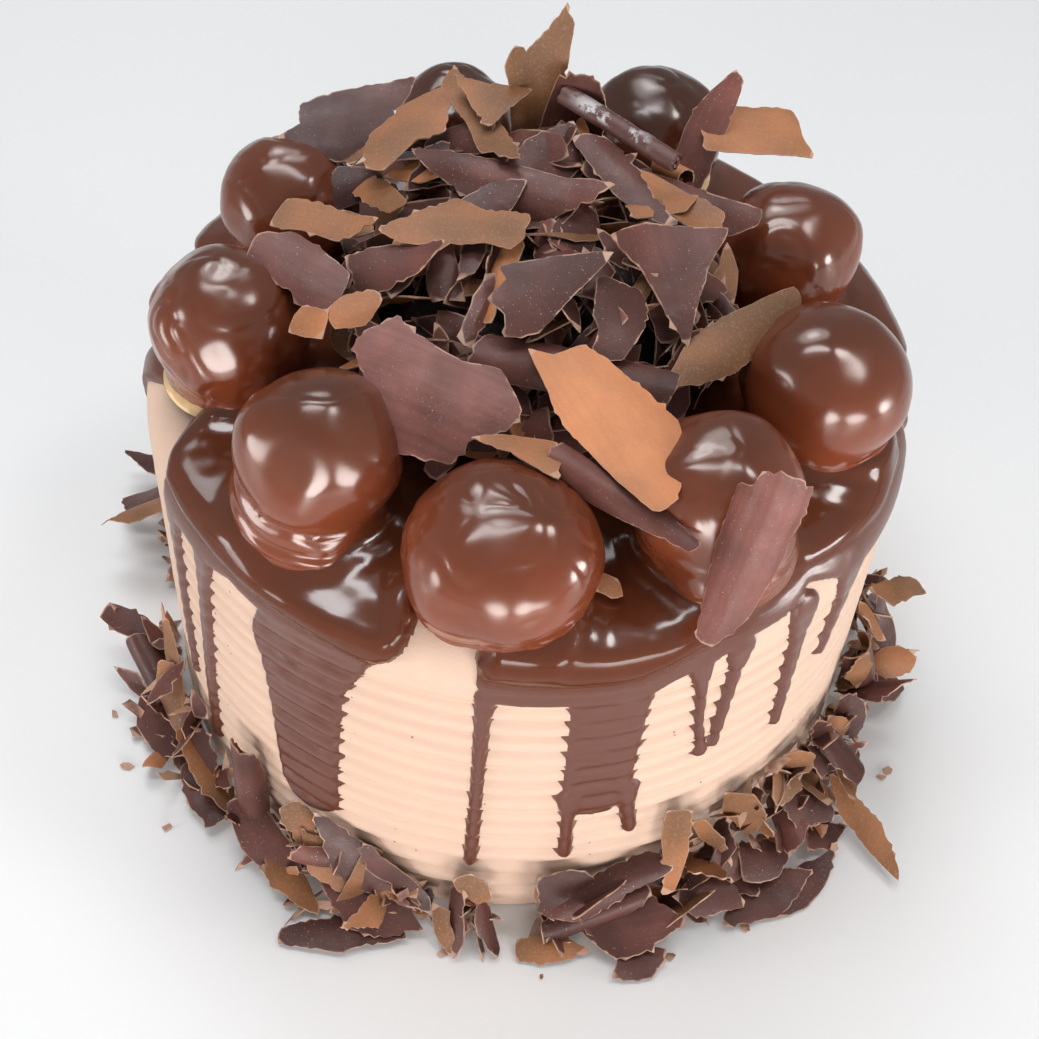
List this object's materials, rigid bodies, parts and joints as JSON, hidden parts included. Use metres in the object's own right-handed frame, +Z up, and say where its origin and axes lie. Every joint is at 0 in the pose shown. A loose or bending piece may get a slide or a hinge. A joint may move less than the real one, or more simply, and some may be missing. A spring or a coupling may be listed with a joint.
{
  "type": "profiterole cake",
  "caption": "Round layer cake with combed frosting, ganache running down its side, a crown of dipped profiteroles, and chocolate shards heaped on top and round its foot.",
  "frame": {"origin": "middle of the cake's flat base", "axes": "+Z up along the cake's axis, -Y towards the side with the clear gap in the ganache, +X to the right seen from that side"},
  "size_m": [0.2554, 0.239, 0.1842],
  "materials": {
    "frosting": "matte, combed, with tiny dark specks",
    "ganache": "glossy poured chocolate",
    "chocolate_coat": "glossy dipped chocolate, lumpy",
    "choux": "baked golden pastry",
    "chocolate_shard": "satin dark and milk chocolate plates and curls"
  },
  "bodies": {
    "root": {"frosted_cake": "frosting", "ganache": "ganache", "profiterole_1_bun": "choux", "profiterole_1_coat": "chocolate_coat", "profiterole_2_bun": "choux", "profiterole_2_coat": "chocolate_coat", "profiterole_3_bun": "choux", "profiterole_3_coat": "chocolate_coat", "profiterole_4_bun": "choux", "profiterole_4_coat": "chocolate_coat", "profiterole_5_bun": "choux", "profiterole_5_coat": "chocolate_coat", "profiterole_6_bun": "choux", "profiterole_6_coat": "chocolate_coat", "profiterole_7_bun": "choux", "profiterole_7_coat": "chocolate_coat", "profiterole_8_bun": "choux", "profiterole_8_coat": "chocolate_coat", "profiterole_9_bun": "choux", "profiterole_9_coat": "chocolate_coat", "shard_heap": "chocolate_shard", "leaning_curl": "chocolate_shard", "shard_cluster_left": "chocolate_shard", "shard_cluster_front_left": "chocolate_shard", "shard_cluster_front": "chocolate_shard", "shard_cluster_front_right": "chocolate_shard", "shard_cluster_right": "chocolate_shard", "shard_cluster_far_right": "chocolate_shard", "shard_cluster_back_right": "chocolate_shard", "shard_cluster_back": "chocolate_shard", "shard_cluster_back_left": "chocolate_shard"}
  },
  "joints": []
}
